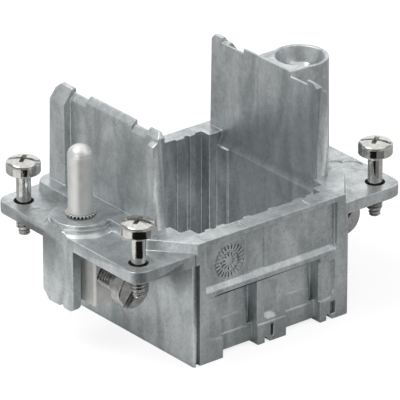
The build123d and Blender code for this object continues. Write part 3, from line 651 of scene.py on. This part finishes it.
class CastingSettings(bpy.types.PropertyGroup):
    """The zinc casting and its skin."""
    edge_round: size_in_mm("Edge rounding", "Radius of the casting's edges", 0.2)
    flow_mark_size: size_in_mm("Flow marks", "Size of the cloudy flow marks", 4.5)
    grain_size: size_in_mm("Grain", "Size of the skin's grain", 0.4)
    skin_height: size_in_mm("Skin height", "Height of the skin's bumps", 0.05)
    rub_width: size_in_mm("Rubbed edge", "Width of the bright rubbed edges", 0.35)
    # how far out of recesses the painted shade reaches
    recess_shade_reach: size_in_mm("Recess reach", "How far oxide creeps out of recesses", 1.8)
    pale_zinc: colour_of("Pale zinc", "Where the skin is clean", "#DCE0E1")
    dark_zinc: colour_of("Dark zinc", "Inside the flow marks", "#B1B7B9")
    rubbed_zinc: colour_of("Rubbed zinc", "Along rubbed edges", "#EAECEC")


class StampSettings(bpy.types.PropertyGroup):
    """The round foundry stamp on the near panel."""
    outer_count: IntProperty(name="Outer ticks", description="Ticks in the outer ring", default=24)
    inner_count: IntProperty(name="Inner ticks", description="Ticks in the inner ring", default=12)
    tick_height: size_in_mm("Tick height", "How far the ticks stand out", 0.3)


class ScrewSettings(bpy.types.PropertyGroup):
    """The captive mounting screws and the earth screws."""
    pitch: size_in_mm("Mounting pitch", "Thread pitch of the mounting screws", 0.6)
    thread_depth: size_in_mm("Mounting depth", "Depth of that thread", 0.33)
    earth_pitch: size_in_mm("Earth pitch", "Thread pitch of the earth screws", 0.7)
    earth_depth: size_in_mm("Earth depth", "Depth of that thread", 0.4)
    edge: size_in_mm("Edge", "Rounding of the heads' cut edges", 0.07)
    plate: colour_of("Nickel", "Colour of the nickel plate", "#E2E1DD")


class GuideSettings(bpy.types.PropertyGroup):
    """The guide pin and the bush in the guide socket."""
    segments: IntProperty(name="Segments", description="Sides of the turned pieces", default=96)
    knurl_teeth: IntProperty(name="Knurl teeth", description="Teeth of the pin's pressed ring", default=24)


class StageSettings(bpy.types.PropertyGroup):
    """The camera and the studio."""
    azimuth: FloatProperty(
        name="Azimuth", description="Camera's turn from the long side, degrees", default=38.72
    )
    elevation: FloatProperty(name="Elevation", description="Camera's height, degrees", default=24.9)
    distance: FloatProperty(
        name="Distance", description="Camera to object", subtype="DISTANCE", default=1.0
    )
    pixels_per_metre: FloatProperty(
        name="Scale", description="Photo scale at the object, px/m", default=5537.0
    )


class CastingOperator(bpy.types.Operator):
    """Make the zinc casting from the frame's solid"""
    bl_idname = "docking.casting"
    bl_label = "Casting"

    def execute(self, context):
        settings = context.scene.docking_casting
        mesh = softened("casting_skin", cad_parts["frame_casting"].data, settings.edge_round * MM)
        mesh.materials.clear()
        mesh.materials.append(cast_zinc(settings))
        for face in mesh.polygons:
            face.material_index = 0
        piece = link("casting_skin", mesh)
        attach(piece, "frame")
        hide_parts("frame_casting")
        return {"FINISHED"}


class StampOperator(bpy.types.Operator):
    """Make the raised ticks of the foundry stamp"""
    bl_idname = "docking.stamp"
    bl_label = "Foundry stamp"

    def execute(self, context):
        settings = context.scene.docking_stamp
        surface = bpy.data.materials.get("cast_zinc_tumbled") or cast_zinc(context.scene.docking_casting)
        tree = tick_tree()
        # half of each tick is sunk in the panel
        tall = 2 * settings.tick_height * MM
        # each ring has its count of ticks, the radius of their middles, their full length and their width
        rings = ((settings.outer_count, 2.65, 1.3, 0.36), (settings.inner_count, 1.3, 1.0, 0.36))
        meshes = []
        for seed, (count, radius, length, width) in enumerate(rings):
            meshes.append(grown(tree, {
                "Count": count, "Radius": radius * MM, "Tick Size": (length * MM, width * MM, tall),
                "Shortest": 0.5, "Seed": seed, "Material": surface,
            }))
        mesh = joined("stamp_ticks", *meshes)
        mesh.transform(Matrix.Translation(STAMP_SEAT) @ Matrix.Rotation(math.radians(90), 4, "X"))
        finished("stamp_ticks", mesh, surface, "frame", "raw_zinc_casting")
        return {"FINISHED"}


def head_cutters(top, turn):
    """The cross recess and the slot across a mounting screw's head."""
    arm = (3.3 * MM, 0.85 * MM, 2.4 * MM)
    slot = (8.0 * MM, 0.85 * MM, 1.3 * MM)
    return [
        cutter(arm, (0, 0, top), turn),
        cutter(arm, (0, 0, top), turn + math.radians(90)),
        cutter(slot, (0, 0, top), turn),
    ]


def mounting_profile(top, thread_top, thread_foot, tip):
    """Half the outline of a mounting screw from its tip up to its crown, in millimetres."""
    head = 3.175
    under = top - 2.75
    foot_round = 0.25
    top_round = 0.7
    crown = 0.4
    shank = 1.35
    root = 1.17
    tip_root = 0.85
    profile = [
        (0, tip), (0.75, tip), (tip_root, tip + 0.15), (tip_root, thread_foot + 0.2),
        (root, thread_foot + 0.3), (root, thread_top - 0.1), (shank, thread_top), (shank, under - 0.9),
        (shank + 0.05, under - 0.82), (1.55, under - 0.6), (1.65, under - 0.5), (1.65, under - 0.12),
        (1.75, under), (2.6, under), (2.9, under + 0.02),
    ]
    profile += arc((head - foot_round, under + 0.27), foot_round, -80, 0, 4)
    profile += arc((head - top_round, top - crown - top_round), top_round, 0, 80, 6)
    crown_radius = ((head - top_round) ** 2 + crown ** 2) / (2 * crown)
    swing = math.degrees(math.asin((head - top_round) / crown_radius))
    profile += arc((0, top - crown_radius), crown_radius, 90 - swing * 0.97, 90, 8)[:-1]
    return profile + [(0, top)]


class MountingScrewsOperator(bpy.types.Operator):
    """Make the four captive mounting screws"""
    bl_idname = "docking.mounting_screws"
    bl_label = "Mounting screws"

    def execute(self, context):
        settings = context.scene.docking_screws
        surface = nickel(settings)
        thread_top = -0.05
        thread_foot = thread_top - 3.1
        tip = thread_foot - 1.3
        for spot, turn in MOUNTING_TURNS.items():
            name = "mounting_screw_" + spot
            low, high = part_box(name)
            top = high.z / MM
            solid = lathe(mounting_profile(top, thread_top, thread_foot, tip), segments=72)
            solid = cut(solid, head_cutters(top * MM, math.radians(turn)), settings.edge * MM)
            thread = sleeve(
                surface, settings.pitch, radius=1.5, ridge_height=settings.thread_depth, length=3.2,
                foot=thread_foot, ridges_round=1, run_out=0.3, segments=64, rings=64,
            )
            pilot = sleeve(
                surface, settings.pitch, radius=1.12, ridge_height=0.24, length=1.3,
                foot=tip + 0.1, ridges_round=1, run_out=0.15, segments=48, rings=26,
            )
            mesh = joined(name + "_body", solid, thread, pilot)
            middle = (low + high) / 2
            mesh.transform(Matrix.Translation((middle.x, middle.y, 0)))
            finished(name + "_body", mesh, surface, name, "nickel_screw", name)
        return {"FINISHED"}


class EarthScrewsOperator(bpy.types.Operator):
    """Make the two slotted earth screws"""
    bl_idname = "docking.earth_screws"
    bl_label = "Earth screws"

    def execute(self, context):
        settings = context.scene.docking_screws
        surface = dull_plate()
        head = 3.5
        thick = 2.6
        shoulder = thick + 2.2
        foot_round = 0.25
        top_round = 0.35
        for side in EARTH_SIDES:
            name = "earth_screw_" + side
            low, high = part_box(name)
            middle = (low + high) / 2
            length = (high.y - low.y) / MM - thick
            # drawn with its slot at the top and its tip below
            profile = [
                (0, -thick - length), (1.2, -thick - length), (1.55, -thick - length + 0.4),
                (1.58, -shoulder - 0.3), (1.9, -shoulder), (1.96, -shoulder + 0.06), (1.96, -thick),
                (head - foot_round, -thick),
            ]
            profile += arc((head - foot_round, -thick + foot_round), foot_round, -90, 0, 4)
            profile += arc((head - top_round, -top_round), top_round, 0, 90, 5)
            profile.append((0, 0))
            slot = cutter((10 * MM, 1.2 * MM, 2.2 * MM), (0, 0, 0), math.radians(52))
            solid = cut(lathe(profile, segments=80), [slot], settings.edge * MM)
            thread = sleeve(
                surface, settings.earth_pitch, radius=2.0, ridge_height=settings.earth_depth,
                length=length - shoulder + thick - 0.1, foot=-thick - length + 0.15,
                ridges_round=1, run_out=0.5, segments=72, rings=100,
            )
            mesh = joined(name + "_body", solid, thread)
            spot = Vector((middle.x, low.y, middle.z))
            mesh.transform(Matrix.Translation(spot) @ Matrix.Rotation(math.radians(90), 4, "X"))
            finished(name + "_body", mesh, surface, name, "nickel_screw", name)
        return {"FINISHED"}


class EarthTerminalsOperator(bpy.types.Operator):
    """Make the two earth terminal blocks"""
    bl_idname = "docking.earth_terminals"
    bl_label = "Earth terminals"

    def execute(self, context):
        surface = block_metal()
        edge_round = 0.15 * MM
        for side in EARTH_SIDES:
            name = "earth_terminal_" + side
            mesh = softened(name + "_block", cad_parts[name].data, edge_round)
            finished(name + "_block", mesh, surface, "frame", "terminal_metal", name)
        return {"FINISHED"}


class GuidePinOperator(bpy.types.Operator):
    """Make the guide pin"""
    bl_idname = "docking.guide_pin"
    bl_label = "Guide pin"

    def execute(self, context):
        settings = context.scene.docking_guides
        middle = (PIN_LOW + PIN_HIGH) / 2
        surface = turned_steel("guide_pin_steel", middle, "#E6E6E3", 0.38)
        radius = 2.25
        root = 2.4
        dome = 1.7
        shoulder_round = 0.5
        foot = PIN_LOW.z / MM
        top = PIN_HIGH.z / MM
        collar = COLLAR_TOP / MM
        dome_radius = (radius ** 2 + dome ** 2) / (2 * dome)
        swing = math.degrees(math.asin(radius / dome_radius))
        profile = [(0, foot), (root - 0.2, foot), (root, foot + 0.2), (root, collar), (radius, collar)]
        profile += arc((radius - shoulder_round, top - dome - 0.35), shoulder_round, 0, 25, 3)
        profile += arc((0, top - dome_radius), dome_radius, 90 - swing * 0.93, 90, 14)[:-1]
        profile.append((0, top))
        ring = sleeve(
            surface, None, radius=2.8, ridge_height=0.5, length=0.55, foot=collar,
            ridges_round=settings.knurl_teeth, run_out=0.06, segments=216, rings=8,
        )
        mesh = joined("guide_pin_body", lathe(profile, settings.segments), ring)
        mesh.transform(Matrix.Translation((middle.x, middle.y, 0)))
        finished("guide_pin_body", mesh, surface, "frame", "turned_steel", "guide_pin")
        return {"FINISHED"}


class GuideBushOperator(bpy.types.Operator):
    """Make the bush in the guide socket"""
    bl_idname = "docking.guide_bush"
    bl_label = "Guide bush"

    def execute(self, context):
        settings = context.scene.docking_guides
        middle = (BUSH_LOW + BUSH_HIGH) / 2
        surface = turned_steel("guide_bush_steel", middle, "#B8B5AE", 0.2)
        foot = BUSH_LOW.z / MM
        top = BUSH_HIGH.z / MM
        outer = 3.3
        inner = 2.375
        lead = outer - inner
        wall = [
            (inner, foot), (outer - 0.2, foot), (outer, foot + 0.2), (outer, top - 0.02),
            (outer - 0.04, top), (inner + 0.1, top - lead + 0.08), (inner, top - lead - 0.05),
        ]
        bm = bmesh.new()
        count = settings.segments
        rings = [[bm.verts.new(place) for place in circle(r * MM, z * MM, count)] for r, z in wall]
        for near, far in zip(rings, rings[1:] + rings[:1]):
            for i in range(count):
                after = (i + 1) % count
                bm.faces.new([near[i], near[after], far[after], far[i]])
        bmesh.ops.recalc_face_normals(bm, faces=bm.faces)
        mesh = mesh_of("guide_bush_sleeve", bm)
        mesh.transform(Matrix.Translation((middle.x, middle.y, 0)))
        finished("guide_bush_sleeve", mesh, surface, "frame", "turned_steel", "guide_bush")
        return {"FINISHED"}


def card(name, corners, grey, lit):
    """A flat studio card of one grey that shows in metal alone, lit by the lamps or glowing evenly."""
    mesh = bpy.data.meshes.new(name)
    mesh.from_pydata(corners, [], [range(len(corners))])
    surface = bpy.data.materials.new(name)
    tree = cleared(surface)
    kind = "ShaderNodeBsdfDiffuse" if lit else "ShaderNodeEmission"
    shader = node(tree, kind, {"Color": (grey, grey, grey, 1)})
    node(tree, "ShaderNodeOutputMaterial", {"Surface": shader})
    mesh.materials.append(surface)
    made = link(name, mesh)
    made.visible_camera = False
    made.visible_diffuse = False
    made.visible_transmission = False
    made.visible_shadow = False


def studio_cards(toward, right, level):
    """A grey sheet round the object, with a dark strip on the camera's side, as on a studio table."""
    up = Vector((0, 0, 1))
    ground = up * level
    sheet = up * 0.1 * MM
    card("card_table", [ground + sheet + 0.3 * Vector(place) for place in circle(1, 0, 48)], 0.5, True)
    # each card's outline runs towards the camera and to its right, or along X and Y, in metres
    view = (toward, right)
    plan = (Vector((1, 0, 0)), Vector((0, 1, 0)))
    for name, (first, second), sheets, grey, lit, outline in (
        ("card_strip", view, 2, 0.01, True, ((0.042, -0.045), (0.042, 0.036), (0.4, 0.09), (0.4, -0.11))),
        ("card_patch", view, 2, 0.22, True, ((0.045, 0.036), (0.02, 0.07), (0.15, 0.25), (0.4, 0.09))),
        ("card_left", plan, 2, 0.95, True, (
            (-0.018, -0.035), (-0.11, -0.035), (-0.11, 0.035), (-0.06, 0.038), (-0.018, 0.03),
        )),
        ("card_behind", plan, 3, 0.15, True, (
            (-0.04, 0.024), (-0.04, 0.058), (0.04, 0.058), (0.04, 0.024),
        )),
        ("card_well", plan, 2, 0.65, False, (
            (-0.013, -0.014), (0.013, -0.014), (0.013, 0.014), (-0.013, 0.014),
        )),
    ):
        card(name, [ground + sheets * sheet + first * a + second * b for a, b in outline], grey, lit)
    # the curtain hangs all round, apart from the side behind the object that the camera looks towards
    radius = 0.6
    height = 0.75
    for step in range(-9, 9):
        ends = [math.radians(15 * turn) for turn in (step, step + 1)]
        low = [radius * (toward * math.cos(turn) + right * math.sin(turn)) + ground for turn in ends]
        high = [point + up * (height - level) for point in reversed(low)]
        card("card_curtain", low + high, 0.22 if step in (-2, -1, 0, 1) else 0.4, False)


def white_to_eye(tree):
    """One where the camera, a mirror or glass looks, and nothing for other light."""
    path = node(tree, "ShaderNodeLightPath").outputs
    direct = {0: path["Is Camera Ray"], 1: path["Is Glossy Ray"]}
    seen = node(tree, "ShaderNodeMath", direct, operation="MAXIMUM")
    return node(tree, "ShaderNodeMath", {0: seen, 1: path["Is Transmission Ray"]}, operation="MAXIMUM")


def studio_world(scene):
    """A world that is white to the eye and softer as a lamp."""
    scene.world = bpy.data.worlds.new("studio")
    tree = cleared(scene.world)
    white = node(tree, "ShaderNodeBackground", {"Color": (1, 1, 1, 1), "Strength": 1.0})
    soft = node(tree, "ShaderNodeBackground", {"Color": (1, 1, 1, 1), "Strength": 0.45})
    mix = node(tree, "ShaderNodeMixShader", {0: white_to_eye(tree), 1: soft, 2: white})
    node(tree, "ShaderNodeOutputWorld", {"Surface": mix})


def studio_floor(level):
    """A pale floor that reads as white and still takes a soft shadow under the object."""
    bm = bmesh.new()
    bmesh.ops.create_grid(bm, x_segments=1, y_segments=1, size=3.0)
    bmesh.ops.translate(bm, vec=(0, 0, level), verts=bm.verts)
    mesh = mesh_of("floor", bm)
    surface = bpy.data.materials.new("floor_paper")
    tree = cleared(surface)
    paper = node(tree, "ShaderNodeBsdfDiffuse", {"Color": (0.35, 0.35, 0.35, 1)})
    glow = node(tree, "ShaderNodeEmission", {"Color": (1, 1, 1, 1), "Strength": 0.8})
    both = node(tree, "ShaderNodeAddShader", {0: paper, 1: glow})
    mix = node(tree, "ShaderNodeMixShader", {0: white_to_eye(tree), 1: paper, 2: both})
    node(tree, "ShaderNodeOutputMaterial", {"Surface": mix})
    mesh.materials.append(surface)
    floor = link("floor", mesh)


def lamp(name, place, size, power):
    """A soft square lamp that looks at the object."""
    data = bpy.data.lights.new(name, "AREA")
    data.size = size
    data.energy = power
    made = bpy.data.objects.new(name, data)
    made.location = place
    made.rotation_mode = "QUATERNION"
    made.rotation_quaternion = (-Vector(place)).to_track_quat("-Z", "Y")
    bpy.context.scene.collection.objects.link(made)


class StageOperator(bpy.types.Operator):
    """Set up the camera, the lamps, the cards and the floor"""
    bl_idname = "docking.stage"
    bl_label = "Stage"

    def execute(self, context):
        settings = context.scene.docking_stage
        scene = context.scene
        scene.view_settings.view_transform = "Standard"
        turn = math.radians(settings.azimuth)
        rise = math.radians(settings.elevation)
        back = Vector((-math.sin(turn) * math.cos(rise), -math.cos(turn) * math.cos(rise), math.sin(rise)))
        right = Vector((math.cos(turn), -math.sin(turn), 0))
        up = back.cross(right)
        data = bpy.data.cameras.new("camera")
        data.sensor_width = 36.0
        data.lens = settings.pixels_per_metre * settings.distance / PHOTO_WIDTH * data.sensor_width
        data.clip_start = 0.05
        data.clip_end = 20.0
        camera = bpy.data.objects.new("camera", data)
        aim = Vector((0, 0, FLANGE_TOP)) - up * AIM_DROP * MM
        camera.location = aim + back * settings.distance
        camera.rotation_mode = "QUATERNION"
        camera.rotation_quaternion = back.to_track_quat("Z", "Y")
        scene.collection.objects.link(camera)
        scene.camera = camera
        studio_world(scene)
        # the floor lies a hair under the object, so that their faces don't meet
        studio_floor(cad_low.z - 0.01 * MM)
        studio_cards(Vector((back.x, back.y, 0)).normalized(), right, cad_low.z)
        lamp("key", (-0.5, 0.3, 0.9), 0.6, 5.0)
        lamp("fill", (0.6, -0.6, 0.7), 0.5, 2.0)
        lamp("low_fill", (-0.75, -0.35, 0.08), 0.35, 1.9)
        return {"FINISHED"}


OPERATORS = (
    CastingOperator, StampOperator, MountingScrewsOperator, EarthScrewsOperator, EarthTerminalsOperator,
    GuidePinOperator, GuideBushOperator, StageOperator,
)


class DockingPanel(bpy.types.Panel):
    """Lists the pieces of the docking frame"""
    bl_idname = "VIEW3D_PT_docking"
    bl_label = "Docking frame"
    bl_space_type = "VIEW_3D"
    bl_region_type = "UI"
    bl_category = "Docking frame"

    def draw(self, context):
        for operator in OPERATORS:
            self.layout.operator(operator.bl_idname)


GROUPS = {
    "docking_casting": CastingSettings,
    "docking_stamp": StampSettings,
    "docking_screws": ScrewSettings,
    "docking_guides": GuideSettings,
    "docking_stage": StageSettings,
}


def register():
    for made in (*GROUPS.values(), *OPERATORS, DockingPanel):
        bpy.utils.register_class(made)
    for name, group in GROUPS.items():
        setattr(bpy.types.Scene, name, PointerProperty(type=group))


def unregister():
    for name in GROUPS:
        delattr(bpy.types.Scene, name)
    for made in (DockingPanel, *reversed(OPERATORS), *reversed(GROUPS.values())):
        bpy.utils.unregister_class(made)


def main():
    """Make every piece in order."""
    register()
    bpy.ops.docking.casting()
    bpy.ops.docking.stamp()
    bpy.ops.docking.mounting_screws()
    bpy.ops.docking.earth_screws()
    bpy.ops.docking.earth_terminals()
    bpy.ops.docking.guide_pin()
    bpy.ops.docking.guide_bush()
    bpy.ops.docking.stage()


if __name__ == "__main__":
    main()
